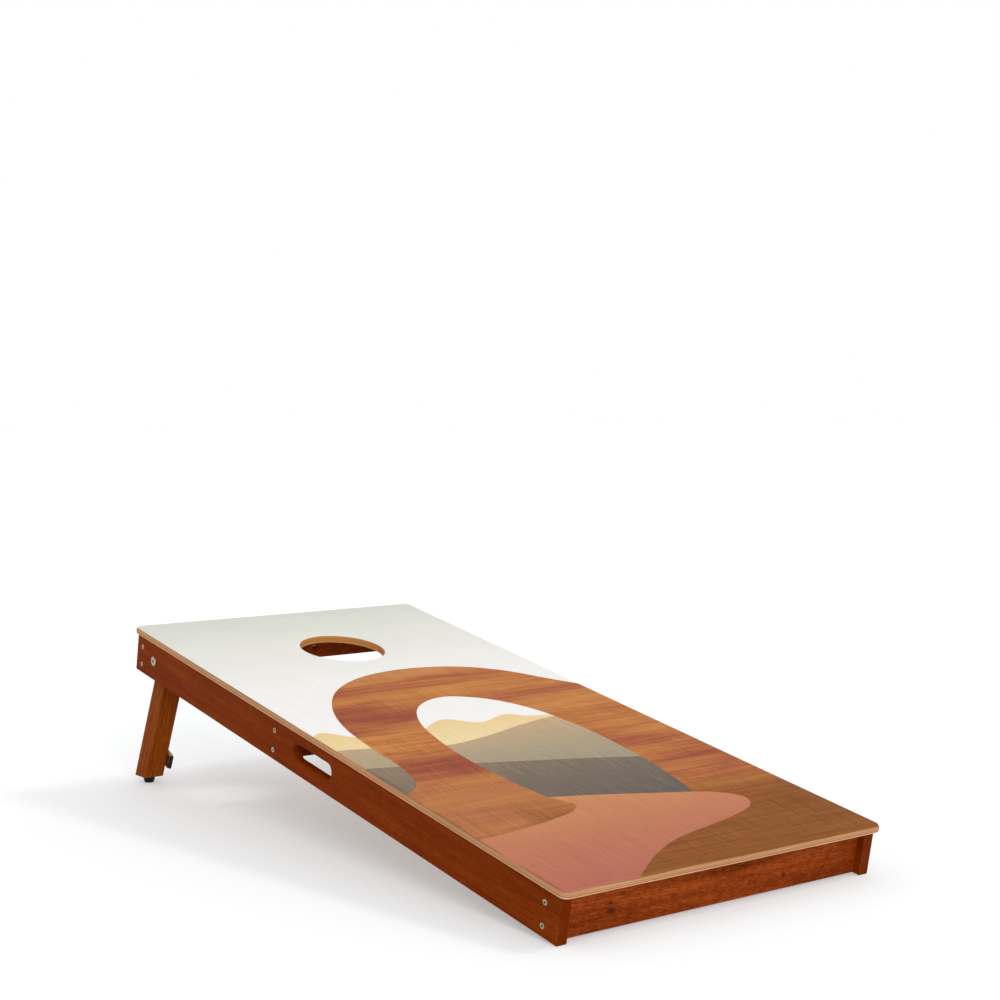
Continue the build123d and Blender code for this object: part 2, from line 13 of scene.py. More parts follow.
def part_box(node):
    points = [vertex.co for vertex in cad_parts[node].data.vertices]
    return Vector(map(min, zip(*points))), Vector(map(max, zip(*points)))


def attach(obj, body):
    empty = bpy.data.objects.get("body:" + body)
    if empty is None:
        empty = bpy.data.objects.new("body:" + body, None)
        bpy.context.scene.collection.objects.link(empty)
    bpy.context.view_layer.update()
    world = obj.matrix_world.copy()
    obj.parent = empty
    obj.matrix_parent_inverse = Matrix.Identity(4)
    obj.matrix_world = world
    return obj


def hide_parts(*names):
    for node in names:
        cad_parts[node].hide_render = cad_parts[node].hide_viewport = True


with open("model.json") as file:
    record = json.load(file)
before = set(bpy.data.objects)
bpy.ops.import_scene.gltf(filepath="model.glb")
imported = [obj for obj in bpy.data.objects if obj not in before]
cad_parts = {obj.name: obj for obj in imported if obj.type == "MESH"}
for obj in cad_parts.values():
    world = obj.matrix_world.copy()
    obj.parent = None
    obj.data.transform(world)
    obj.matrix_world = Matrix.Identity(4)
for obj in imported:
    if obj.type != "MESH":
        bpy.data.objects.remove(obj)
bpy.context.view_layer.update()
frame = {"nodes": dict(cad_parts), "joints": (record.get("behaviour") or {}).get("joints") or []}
nodes = frame["nodes"]
MM = 0.001

# ---------------------------------------------------------------- places from the frame
SLOPE = math.radians(10.5)
DECK_LENGTH = 1219.2 * MM
DECK_THICKNESS = 12.7 * MM
DECK_EDGE_ROUND = 5.0 * MM
DECK_CORNER_RADIUS = 13.0 * MM
HOLE_RADIUS = 76.2 * MM
HOLE_EDGE_ROUND = 4.0 * MM
HOLE_FROM_BACK = 228.6 * MM
SHEET_INSET = 1.5 * MM
SHEET_THICKNESS = 0.25 * MM

deck_low, deck_high = (Vector(corner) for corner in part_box("deck"))
deck_half_width = deck_high.x
low_edge_y = deck_low.y - DECK_EDGE_ROUND * (math.cos(SLOPE) + math.sin(SLOPE) - 1)
low_edge_z = (
    deck_high.z
    - (DECK_LENGTH - DECK_EDGE_ROUND) * math.sin(SLOPE)
    - DECK_EDGE_ROUND * (1 - math.cos(SLOPE))
)

# Board frame: x across, y up the slope from the deck's low edge, z out of the deck's top.
board = Matrix.Translation((0, low_edge_y, low_edge_z)) @ Matrix.Rotation(SLOPE, 4, "X")

# Pivot of the left leg, and the tilt of the leg from upright.
pivot = Vector(frame["joints"][0]["pos_m"])
foot_low, foot_high = (Vector(corner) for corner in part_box("rubber_foot_left"))
leg_tilt = math.atan2((foot_low.y + foot_high.y) / 2 - pivot.y, pivot.z - foot_high.z)

# Where the grain of each timber starts, in the board frame.
SIDE_RAIL_X = 0.29
SIDE_RAIL_Z = -0.043
FRONT_RAIL_Y = 0.04
BRACE_Y = 0.72
BACK_RAIL_Y = 1.19
CROSSPIECE_Z = -0.046


def leg_frame(side):
    """Frame of one leg: origin at its pivot, x across, y up the leg along its grain."""
    turn = Matrix.Rotation(math.pi / 2 + leg_tilt, 4, "X")
    return Matrix.Translation((side * abs(pivot.x), pivot.y, pivot.z)) @ turn


def across_frame(along):
    """Frame of a crosspiece, with y across the board along its grain."""
    turn = Matrix.Rotation(-math.pi / 2, 4, "Z")
    return board @ Matrix.Translation((0, along, CROSSPIECE_Z)) @ turn


# ---------------------------------------------------------------- camera
CAMERA_PLACE = (-1.7199, -2.2859, 0.6831)
CAMERA_TURN = (87.123, 0.400, -34.806)
CAMERA_LENS = 62.66
CAMERA_SHIFT = 0.11


def make_camera():
    """The camera, at the photograph's angle."""
    data = bpy.data.cameras.new("camera")
    data.lens = CAMERA_LENS
    data.sensor_width = 36.0
    data.shift_x = CAMERA_SHIFT
    camera = bpy.data.objects.new("camera", data)
    camera.location = CAMERA_PLACE
    camera.rotation_euler = [math.radians(angle) for angle in CAMERA_TURN]
    bpy.context.collection.objects.link(camera)
    bpy.context.scene.camera = camera


# ---------------------------------------------------------------- node helpers
WHITE = (1, 1, 1, 1)


def colour(red, green, blue):
    """Linear colour of an 8-bit display colour."""
    parts = [part / 255 for part in (red, green, blue)]
    linear = [part / 12.92 if part <= 0.04045 else ((part + 0.055) / 1.055) ** 2.4 for part in parts]
    return (*linear, 1.0)


def plug(tree, socket, value):
    """Sets a socket to a number or colour, or links another socket to it."""
    if isinstance(value, bpy.types.NodeSocket):
        tree.links.new(value, socket)
    else:
        socket.default_value = value


def new_material(name, roughness=0.5, metallic=0.0):
    """A material with one Principled shader: (material, node tree, shader)."""
    material = bpy.data.materials.new(name)
    material.use_nodes = True
    shader = material.node_tree.nodes["Principled BSDF"]
    shader.inputs["Roughness"].default_value = roughness
    shader.inputs["Metallic"].default_value = metallic
    return material, material.node_tree, shader


def local_coords(tree, place):
    """Coordinates in the frame of the matrix place, in metres."""
    source = tree.nodes.new("ShaderNodeTexCoord")
    mapping = tree.nodes.new("ShaderNodeMapping")
    mapping.vector_type = "TEXTURE"
    mapping.inputs["Location"].default_value = place.to_translation()
    mapping.inputs["Rotation"].default_value = place.to_euler()
    tree.links.new(source.outputs["Object"], mapping.inputs["Vector"])
    return mapping.outputs["Vector"]


def vector_maths(tree, operation, first, second=None, output="Vector"):
    """One output of a vector maths node."""
    node = tree.nodes.new("ShaderNodeVectorMath")
    node.operation = operation
    plug(tree, node.inputs[0], first)
    if second is not None:
        plug(tree, node.inputs[1], second)
    return node.outputs[output]


def stretched(tree, vector, factors):
    return vector_maths(tree, "MULTIPLY", vector, factors)


def maths(tree, operation, first, second=0.0, third=0.0):
    node = tree.nodes.new("ShaderNodeMath")
    node.operation = operation
    for socket, value in zip(node.inputs, (first, second, third)):
        plug(tree, socket, value)
    return node.outputs[0]


def part_of(tree, vector, axis):
    """The part of a vector along the axis named X, Y or Z."""
    node = tree.nodes.new("ShaderNodeSeparateXYZ")
    plug(tree, node.inputs[0], vector)
    return node.outputs[axis]


def between(tree, value, low, high, to_low=0.0, to_high=1.0, smooth=True):
    """Value mapped from low..high to to_low..to_high and held at the ends."""
    node = tree.nodes.new("ShaderNodeMapRange")
    node.interpolation_type = "SMOOTHSTEP" if smooth else "LINEAR"
    node.clamp = True
    for name, number in (("From Min", low), ("From Max", high), ("To Min", to_low), ("To Max", to_high)):
        node.inputs[name].default_value = number
    plug(tree, node.inputs["Value"], value)
    return node.outputs["Result"]


def noise(tree, vector, factors, detail=2.0, rough=0.55, warp=0.0):
    """Noise of a stretched vector, from 0 to 1."""
    node = tree.nodes.new("ShaderNodeTexNoise")
    node.inputs["Scale"].default_value = 1.0
    node.inputs["Detail"].default_value = detail
    node.inputs["Roughness"].default_value = rough
    node.inputs["Distortion"].default_value = warp
    plug(tree, node.inputs["Vector"], stretched(tree, vector, factors))
    return node.outputs["Fac"]


# Sockets of a Mix node that carry colours. It has others of the same names for plain numbers.
MIX_FIRST = 6
MIX_SECOND = 7
MIX_RESULT = 2


def mixed(tree, share, first, second):
    """The first colour where share is 0, and the second where it is 1."""
    node = tree.nodes.new("ShaderNodeMix")
    node.data_type = "RGBA"
    plug(tree, node.inputs["Factor"], share)
    plug(tree, node.inputs[MIX_FIRST], first)
    plug(tree, node.inputs[MIX_SECOND], second)
    return node.outputs[MIX_RESULT]


def ramp(tree, value, stops):
    """Colours blended along a list of (place, colour)."""
    node = tree.nodes.new("ShaderNodeValToRGB")
    elements = node.color_ramp.elements
    while len(elements) < len(stops):
        elements.new(0.5)
    for element, (place, tint) in zip(elements, stops):
        element.position = place
        element.color = tint
    plug(tree, node.inputs["Fac"], value)
    return node.outputs["Color"]


def add_bump(tree, shader, height, distance, strength):
    """Fine relief: height from 0 to 1 stands for the distance, in metres."""
    node = tree.nodes.new("ShaderNodeBump")
    node.inputs["Distance"].default_value = distance
    node.inputs["Strength"].default_value = strength
    plug(tree, node.inputs["Height"], height)
    tree.links.new(node.outputs["Normal"], shader.inputs["Normal"])


def edge_mask(tree, radius):
    """1 on edges sharper than the radius, 0 on flats."""
    bevel = tree.nodes.new("ShaderNodeBevel")
    bevel.samples = 4
    bevel.inputs["Radius"].default_value = radius
    geometry = tree.nodes.new("ShaderNodeNewGeometry")
    alike = vector_maths(tree, "DOT_PRODUCT", bevel.outputs["Normal"], geometry.outputs["Normal"], "Value")
    return between(tree, alike, 0.985, 0.80)


def end_grain(tree, place):
    """1 on faces cut across the grain, which runs along y of place, and 0 elsewhere."""
    facing = tree.nodes.new("ShaderNodeTexCoord").outputs["Normal"]
    grain = place.to_3x3() @ Vector((0, 1, 0))
    share = maths(tree, "ABSOLUTE", vector_maths(tree, "DOT_PRODUCT", facing, tuple(grain), "Value"))
    return between(tree, share, 0.75, 0.95)


def recess_shade(tree, reach):
    """Mask of painted shade: 1 deep in recesses narrower than the reach, 0 in the open."""
    node = tree.nodes.new("ShaderNodeAmbientOcclusion")
    node.samples = 8
    node.only_local = True
    node.inputs["Distance"].default_value = reach
    return between(tree, node.outputs["AO"], 0.95, 0.65)


# ---------------------------------------------------------------- timber
WOOD_SPECULAR = 0.015
LONG_FIBRES = (620, 11)
SHORT_FIBRES = (850, 100)
GREY = (0.6, 0.6, 0.6, 1)
BLACK = (0, 0, 0, 1)
RING_SHADES = [(0.0, WHITE), (0.55, GREY), (0.86, BLACK), (1.0, WHITE)]
KNOT_TINT = colour(52, 18, 4)
STAIN_BOARD = (colour(84, 26, 0), colour(107, 40, 0), colour(124, 53, 6), colour(144, 72, 22))
STAIN_RAIL = (colour(60, 18, 0), colour(118, 47, 9), colour(158, 76, 28), colour(156, 84, 38))
STAIN_LEG = (colour(84, 32, 2), colour(116, 52, 8), colour(144, 74, 18), colour(152, 86, 34))
STAIN_INSIDE = (colour(66, 22, 0), colour(92, 36, 6), colour(116, 52, 14), colour(130, 66, 28))


def timber(name, place, tints, ring_gap, pith, figure, knots=(), pore_share=0.5, fibres=LONG_FIBRES):
    """Stained timber under satin varnish. Its grain runs along y of place.

    tints go from deep to pale, with the worn tint of the edges last. figure is the share of the
    growth rings in the colour. Each knot is its (y, z) place and size. fibres is how many there
    are to a metre, across and along the grain.
    """
    deep, middle, pale, worn = tints
    material, tree, shader = new_material(name)
    at = local_coords(tree, place)

    wander = noise(tree, at, (9, 1.6, 9), detail=3)
    ripple = noise(tree, at, (60, 7, 60), detail=2)
    away = vector_maths(tree, "SUBTRACT", at, pith)
    radius = vector_maths(tree, "LENGTH", stretched(tree, away, (1, 0.05, 1)), output="Value")
    radius = maths(tree, "MULTIPLY_ADD", wander, 0.035, radius)
    radius = maths(tree, "MULTIPLY_ADD", ripple, 0.0035, radius)
    knot_shade = 0.0
    for (along, height), size in knots:
        gap = vector_maths(tree, "SUBTRACT", at, (0, along, height))
        gap = vector_maths(tree, "LENGTH", stretched(tree, gap, (0, 0.5, 1)), output="Value")
        radius = maths(tree, "MULTIPLY_ADD", between(tree, gap, size * 4, 0.0), size * 1.8, radius)
        knot_shade = maths(tree, "MAXIMUM", knot_shade, between(tree, gap, size * 1.3, size * 0.4))
    ring = maths(tree, "FRACT", maths(tree, "DIVIDE", radius, ring_gap))
    ring = ramp(tree, ring, RING_SHADES)

    fibre = noise(tree, at, (fibres[0], fibres[1], fibres[0]), detail=4, rough=0.66, warp=0.15)
    streak = noise(tree, at, (95, 2.6, 95), detail=3, rough=0.6)
    blotch = noise(tree, at, (17, 4.5, 17), detail=3)
    mottle = noise(tree, at, (150, 60, 150), detail=3, rough=0.6)
    pores = between(tree, noise(tree, at, (1500, 75, 1500), detail=1), 0.60, 0.70)

    tone = maths(tree, "MULTIPLY", ring, figure)
    for part, share in ((fibre, 0.38), (streak, 0.26), (blotch, 0.20), (mottle, 0.16)):
        spread = between(tree, part, 0.32, 0.68, smooth=False)
        tone = maths(tree, "MULTIPLY_ADD", spread, share * (1.0 - figure), tone)
    tint = ramp(tree, tone, [(0.14, deep), (0.5, middle), (0.88, pale)])
    tint = mixed(tree, maths(tree, "MULTIPLY", pores, pore_share), tint, deep)
    if knots:
        tint = mixed(tree, maths(tree, "MULTIPLY", knot_shade, 0.8), tint, KNOT_TINT)
    tint = mixed(tree, maths(tree, "MULTIPLY", end_grain(tree, place), 0.55), tint, deep)
    wear = maths(tree, "MULTIPLY", edge_mask(tree, 1.6 * MM), between(tree, streak, 0.35, 0.6, 0.15, 0.6))
    tint = mixed(tree, wear, tint, worn)
    plug(tree, shader.inputs["Base Color"], tint)

    plug(tree, shader.inputs["Roughness"], between(tree, fibre, 0.3, 0.75, 0.52, 0.38))
    shader.inputs["Specular IOR Level"].default_value = WOOD_SPECULAR
    add_bump(tree, shader, maths(tree, "MULTIPLY_ADD", pores, -0.7, fibre), 0.12 * MM, 0.55)
    return material


def dress_timber():
    """Stains each board of the frame and the legs, with its own run of grain."""
    for side, name in ((-1, "left"), (1, "right")):
        place = board @ Matrix.Translation((side * SIDE_RAIL_X, 0.0, SIDE_RAIL_Z))
        rail = timber(f"side_rail_stain_{name}", place, STAIN_BOARD, 7 * MM, (0.09, 0.4, 0.02), 0.12)
        paint(f"side_rail_{name}", rail)
        heart = (0.06, 0.1, 0.045 * side)
        leg = timber(f"leg_stain_{name}", leg_frame(side), STAIN_LEG, 5 * MM, heart, 0.16)
        paint(f"leg_{name}", leg)
    knots = (((-0.198, -0.007), 4.5 * MM), ((-0.2, 0.004), 2.5 * MM), ((0.13, -0.012), 2.5 * MM))
    crosswise = (0.10, knots, 0.8, SHORT_FIBRES)
    place = across_frame(FRONT_RAIL_Y)
    front = timber("front_rail_stain", place, STAIN_RAIL, 3.4 * MM, (0.05, 0.3, 0.05), *crosswise)
    paint("front_rail", front)
    place = across_frame(BACK_RAIL_Y)
    back = timber("back_rail_stain", place, STAIN_RAIL, 3.8 * MM, (-0.06, -0.1, 0.06), *crosswise)
    paint("back_rail", back)
    place = across_frame(BRACE_Y)
    brace = timber("mid_brace_stain", place, STAIN_INSIDE, 6 * MM, (0.08, 0.2, 0.03), 0.2)
    paint("mid_brace", brace)


# ---------------------------------------------------------------- plywood deck
PLY_TAN = colour(174, 130, 92)
PLY_LIGHT = colour(232, 176, 138)
PLY_DARK = colour(150, 108, 74)
GLUE_LINE = colour(104, 68, 42)
PLY_RIM = colour(164, 108, 52)
# The pale bands at the top and bottom are the face veneers with painted highlight on the rounded edges; the
# bottom one is made paler still for the little light that reaches it facing down.
PLIES = [
    (0.00, PLY_LIGHT), (0.08, PLY_TAN), (0.13, GLUE_LINE), (0.17, PLY_DARK), (0.34, PLY_TAN),
    (0.38, PLY_TAN), (0.44, PLY_DARK), (0.60, PLY_TAN), (0.66, GLUE_LINE), (0.72, PLY_TAN),
    (0.80, PLY_LIGHT), (1.00, PLY_LIGHT),
]


def plywood():
    """Varnished plywood: layers down its edge, and a face veneer with long grain below."""
    material, tree, shader = new_material("deck_plywood")
    at = local_coords(tree, board)
    sway = maths(tree, "MULTIPLY_ADD", noise(tree, at, (30, 30, 30)), 0.9 * MM, -0.45 * MM)
    depth = maths(tree, "SUBTRACT", sway, part_of(tree, at, "Z"))
    share = maths(tree, "DIVIDE", depth, DECK_THICKNESS)
    fine = noise(tree, at, (500, 500, 900), detail=3, rough=0.65)
    grain = noise(tree, at, (420, 9, 420), detail=4, rough=0.6)
    layers = noise(tree, at, (7, 7, 900), detail=3, rough=0.6)
    broad = noise(tree, at, (11, 5, 40), detail=3)
    edge = ramp(tree, share, PLIES)
    edge = mixed(tree, between(tree, fine, 0.4, 0.75, 0.0, 0.3), edge, PLY_DARK)
    edge = mixed(tree, between(tree, layers, 0.5, 0.8, 0.0, 0.5), edge, PLY_LIGHT)
    edge = mixed(tree, between(tree, layers, 0.5, 0.2, 0.0, 0.5), edge, GLUE_LINE)
    from_hole = vector_maths(tree, "SUBTRACT", at, (0, DECK_LENGTH - HOLE_FROM_BACK, 0))
    from_hole = vector_maths(tree, "LENGTH", stretched(tree, from_hole, (1, 1, 0)), output="Value")
    hole_wall = between(tree, from_hole, HOLE_RADIUS + 3 * MM, HOLE_RADIUS + 1 * MM, 0.0, 0.9)
    # Painted highlight: near the top the rim colour is weakened, so the pale top ply shows as a light line
    # along the hole's edge.
    hole_wall = maths(tree, "MULTIPLY", hole_wall, between(tree, depth, 1.0 * MM, 2.5 * MM, 0.3, 1.0))
    edge = mixed(tree, hole_wall, edge, PLY_RIM)
    veneer = ramp(tree, grain, [(0.25, colour(160, 112, 70)), (0.75, colour(204, 158, 112))])
    below = between(tree, depth, DECK_THICKNESS - 0.8 * MM, DECK_THICKNESS - 0.6 * MM)
    tint = mixed(tree, below, edge, veneer)
    tint = mixed(tree, between(tree, broad, 0.4, 0.75, 0.0, 0.3), tint, PLY_DARK)
    plug(tree, shader.inputs["Base Color"], tint)
    plug(tree, shader.inputs["Roughness"], between(tree, fine, 0.3, 0.7, 0.42, 0.58))
    shader.inputs["Specular IOR Level"].default_value = WOOD_SPECULAR
    add_bump(tree, shader, maths(tree, "ADD", layers, fine), 0.06 * MM, 0.5)
    return material


# ---------------------------------------------------------------- printed picture
# A plain desert scene: sky, far peaks, hills, a plain, a rounded rock arch and a sand dune.
# Outlines are in millimetres, x from the middle, y from the low edge. EDGE lies past the deck.
EDGE = 330.0
PEAKS = [
    (-EDGE, 575), (-285, 612), (-235, 572), (-150, 556), (-60, 602), (-5, 570), (62, 590),
    (120, 566), (EDGE, 560),
]
HILLS = [(-EDGE, 540), (-230, 524), (-130, 500), (-40, 512), (60, 540), (150, 556), (EDGE, 560)]
PLAIN = [(-EDGE, 462), (-200, 436), (-60, 404), (70, 374), (160, 352), (EDGE, 330)]
ARCH_OUTSIDE = [
    (EDGE, 650), (268, 722), (214, 788), (140, 834), (40, 850), (-60, 834), (-142, 786),
    (-200, 712), (-234, 625), (-246, 530), (-250, 440), (-272, 372), (-EDGE, 340),
]
ARCH_INSIDE = [
    (-112, 268), (-124, 340), (-130, 420), (-124, 512), (-102, 602), (-56, 670), (14, 698),
    (84, 664), (128, 596), (148, 505), (152, 410), (142, 300), (120, 206),
]
ARCH_FOOT = [(-EDGE, 176), (-240, 184), (-150, 200), (-104, 216), (-92, 236), (-112, 268)]
DUNE_TOP = [(-112, 268), (-60, 256), (0, 240), (62, 222), (120, 206)]
DUNE_SIDE = [
    (120, 206), (160, 188), (182, 160), (164, 132), (110, 112), (40, 96), (-30, 80), (-92, 54),
    (-150, 18), (-204, -20), (-258, -58),
]
CURVE_STEPS = 8
CORNER_STEPS = 6
HOLE_STEPS = 96
RIM_STEPS = 5
FILM_GAP = 0.02 * MM
INK_SHADE = 0.68

# Settings of the cut: triangles inside the outlines only, and points that count as one, in mm.
INSIDE_ONLY = 1
SAME_POINT = 0.01


def smooth(points):
    """Points along a Catmull-Rom curve through an open list of points."""
    ends = [points[0], *points, points[-1]]
    curve = []
    for before, start, end, after in zip(ends, ends[1:], ends[2:], ends[3:]):
        for step in range(CURVE_STEPS):
            t = step / CURVE_STEPS
            weights = (
                (-t + 2 * t * t - t**3) / 2,
                (2 - 5 * t * t + 3 * t**3) / 2,
                (t + 4 * t * t - 3 * t**3) / 2,
                (t**3 - t * t) / 2,
            )
            corners = (before, start, end, after)
            curve.append(tuple(sum(w * c[i] for w, c in zip(weights, corners)) for i in (0, 1)))
    return [*curve, tuple(points[-1])]


def rounded_outline(inset):
    """The deck's outline with its round corners, drawn inset from every edge, in millimetres."""
    half = (deck_half_width - inset) / MM
    low = inset / MM
    high = (DECK_LENGTH - inset) / MM
    radius = (DECK_CORNER_RADIUS - inset) / MM
    corners = ((half, low, 270), (half, high, 0), (-half, high, 90), (-half, low, 180))
    outline = []
    for x, y, start in corners:
        centre_x = x - math.copysign(radius, x)
        centre_y = y + radius if y == low else y - radius
        for step in range(CORNER_STEPS + 1):
            angle = math.radians(start + 90 * step / CORNER_STEPS)
            outline.append((centre_x + radius * math.cos(angle), centre_y + radius * math.sin(angle)))
    return outline


def hole_outline(inset):
    """A circle round the bag hole, drawn inset from its edge, in millimetres."""
    middle = (DECK_LENGTH - HOLE_FROM_BACK) / MM
    radius = (HOLE_RADIUS + inset) / MM
    turns = [2 * math.pi * step / HOLE_STEPS for step in range(HOLE_STEPS)]
    return [(radius * math.cos(turn), middle + radius * math.sin(turn)) for turn in turns]


def rim_insets(edge_round):
    """Distances from the edge at which the film is cut, so that it bends evenly over the edge."""
    steep = math.asin(1 - SHEET_INSET / edge_round)
    return [edge_round * (1 - math.sin(steep * step / RIM_STEPS)) for step in range(RIM_STEPS, -1, -1)]


def film_height(x, y, lift):
    """Height above the deck's flat top of a film lifted off the deck, at a place in metres."""
    corner_x = abs(x) - deck_half_width + DECK_CORNER_RADIUS
    corner_y = abs(y - DECK_LENGTH / 2) - DECK_LENGTH / 2 + DECK_CORNER_RADIUS
    outside = math.hypot(max(corner_x, 0), max(corner_y, 0)) + min(max(corner_x, corner_y), 0)
    from_edge = DECK_CORNER_RADIUS - outside
    from_hole = math.hypot(x, y - DECK_LENGTH + HOLE_FROM_BACK) - HOLE_RADIUS
    for inset, edge_round in ((from_edge, DECK_EDGE_ROUND), (from_hole, HOLE_EDGE_ROUND)):
        if inset < edge_round:
            radius = edge_round + lift
            return math.sqrt(max(radius**2 - (edge_round - inset) ** 2, 0)) - edge_round
    return lift


def below(line):
    """The area under a line that crosses the whole picture, counter-clockwise."""
    return [(-EDGE, -EDGE), (EDGE, -EDGE), *smooth(line)[::-1]]


def picture_regions():
    """Counter-clockwise outlines of the picture's areas, from back to front."""
    side = [*smooth(DUNE_SIDE), (DUNE_SIDE[-1][0], -EDGE)]
    foot = smooth(ARCH_FOOT)
    arch = [*foot[:-1], *smooth(ARCH_INSIDE)[:-1], *side, (EDGE, -EDGE), *smooth(ARCH_OUTSIDE)]
    dune = [*side[::-1], *smooth(DUNE_TOP)[-2:0:-1], *foot[::-1], (-EDGE, -EDGE)]
    return [below(PEAKS), below(HILLS), below(PLAIN), arch, dune]


def print_coords(tree):
    """Board coordinates for the print: (vector, x across, y up the slope)."""
    at = local_coords(tree, board)
    return at, part_of(tree, at, "X"), part_of(tree, at, "Y")


def finish_print(tree, shader, at, tint, grain_depth):
    """Adds the veneer's grain that shows through the ink, and its satin surface."""
    sway = maths(tree, "MULTIPLY_ADD", noise(tree, at, (7, 3.2, 1), detail=1), 0.03, part_of(tree, at, "X"))
    grained = tree.nodes.new("ShaderNodeCombineXYZ")
    plug(tree, grained.inputs["X"], sway)
    plug(tree, grained.inputs["Y"], part_of(tree, at, "Y"))
    lines = noise(tree, grained.outputs[0], (520, 6.5, 1), detail=4, rough=0.7)
    weave = noise(tree, at, (40, 620, 1), detail=2)
    pores = between(tree, noise(tree, at, (1500, 55, 1), detail=1), 0.62, 0.70)
    shade = between(tree, lines, 0.32, 0.68, 1.0 - grain_depth, 1.0 + grain_depth * 0.5, smooth=False)
    shade = maths(tree, "MULTIPLY", shade, between(tree, weave, 0.3, 0.7, 0.965, 1.02, smooth=False))
    dark_pores = between(tree, pores, 0.0, 1.0, 1.0, 1.0 - grain_depth, smooth=False)
    shade = maths(tree, "MULTIPLY", shade, dark_pores)
    inked = vector_maths(tree, "SCALE", tint)
    plug(tree, inked.node.inputs["Scale"], maths(tree, "MULTIPLY", shade, INK_SHADE))
    plug(tree, shader.inputs["Base Color"], inked)
    plug(tree, shader.inputs["Roughness"], between(tree, lines, 0.3, 0.7, 0.50, 0.42))
    shader.inputs["Specular IOR Level"].default_value = WOOD_SPECULAR
    add_bump(tree, shader, maths(tree, "MULTIPLY_ADD", pores, -0.5, lines), 0.05 * MM, 0.5)


def print_plain(name, low, high, stops, grain_depth):
    """An area whose colour changes slowly from y = low to y = high, in metres."""
    material, tree, shader = new_material(f"print_{name}")
    at, across, along = print_coords(tree)
    cloud = noise(tree, at, (6, 14, 1), detail=3)
    place = between(tree, along, low, high, smooth=False)
    place = maths(tree, "ADD", place, between(tree, cloud, 0.0, 1.0, -0.12, 0.12, smooth=False))
    finish_print(tree, shader, at, ramp(tree, place, stops), grain_depth)
    return material


def print_rock():
    """The arch: level streaks of orange and rust that turn brown towards the low right corner."""
    material, tree, shader = new_material("print_arch")
    at, across, along = print_coords(tree)
    bands = noise(tree, at, (1.6, 13, 1), detail=3, rough=0.55, warp=0.25)
    brush = noise(tree, at, (6, 130, 1), detail=4, rough=0.7)
    tone = maths(tree, "MULTIPLY_ADD", between(tree, brush, 0.3, 0.7, -0.5, 0.5, smooth=False), 0.26, bands)
    stops = [
        (0.30, colour(160, 80, 58)), (0.42, colour(178, 98, 62)), (0.50, colour(190, 114, 64)),
        (0.58, colour(202, 128, 66)), (0.70, colour(210, 141, 78)),
    ]
    tint = ramp(tree, tone, stops)
    crown = maths(tree, "MULTIPLY", between(tree, along, 0.79, 0.84), 0.6)
    tint = mixed(tree, crown, tint, colour(214, 150, 96))
    low = between(tree, along, 0.42, 0.32)
    left_foot = maths(tree, "MULTIPLY", low, between(tree, across, -0.05, -0.12))
    tint = mixed(tree, maths(tree, "MULTIPLY", left_foot, 0.55), tint, colour(192, 128, 82))
    lowest = between(tree, along, 0.30, 0.14)
    low_right = maths(tree, "MULTIPLY", lowest, between(tree, across, -0.24, -0.16))
    brown = ramp(tree, brush, [(0.3, colour(134, 76, 34)), (0.7, colour(162, 100, 46))])
    tint = mixed(tree, low_right, tint, brown)
    finish_print(tree, shader, at, tint, 0.30)
    return material


def picture_materials():
    """One material for each area, in the order of the mesh's material slots."""
    sky = [
        (0.0, colour(250, 247, 244)), (0.35, colour(247, 245, 241)),
        (0.75, colour(232, 232, 223)), (1.0, colour(219, 220, 209)),
    ]
    peaks = [(0.0, colour(243, 218, 168)), (1.0, colour(240, 210, 152))]
    hills = [(0.0, colour(168, 158, 133)), (0.5, colour(182, 165, 134)), (1.0, colour(202, 172, 136))]
    plain = [(0.0, colour(112, 101, 94)), (0.6, colour(130, 115, 102)), (1.0, colour(150, 128, 108))]
    dune = [(0.0, colour(188, 110, 92)), (0.45, colour(197, 123, 94)), (1.0, colour(210, 144, 96))]
    return [
        print_plain("sky", 0.60, 1.2, sky, 0.05),
        print_plain("peaks", 0.52, 0.6, peaks, 0.06),
        print_plain("hills", 0.38, 0.54, hills, 0.20),
        print_plain("plain", 0.22, 0.42, plain, 0.34),
        print_rock(),
        print_plain("dune", 0.0, 0.26, dune, 0.16),
    ]


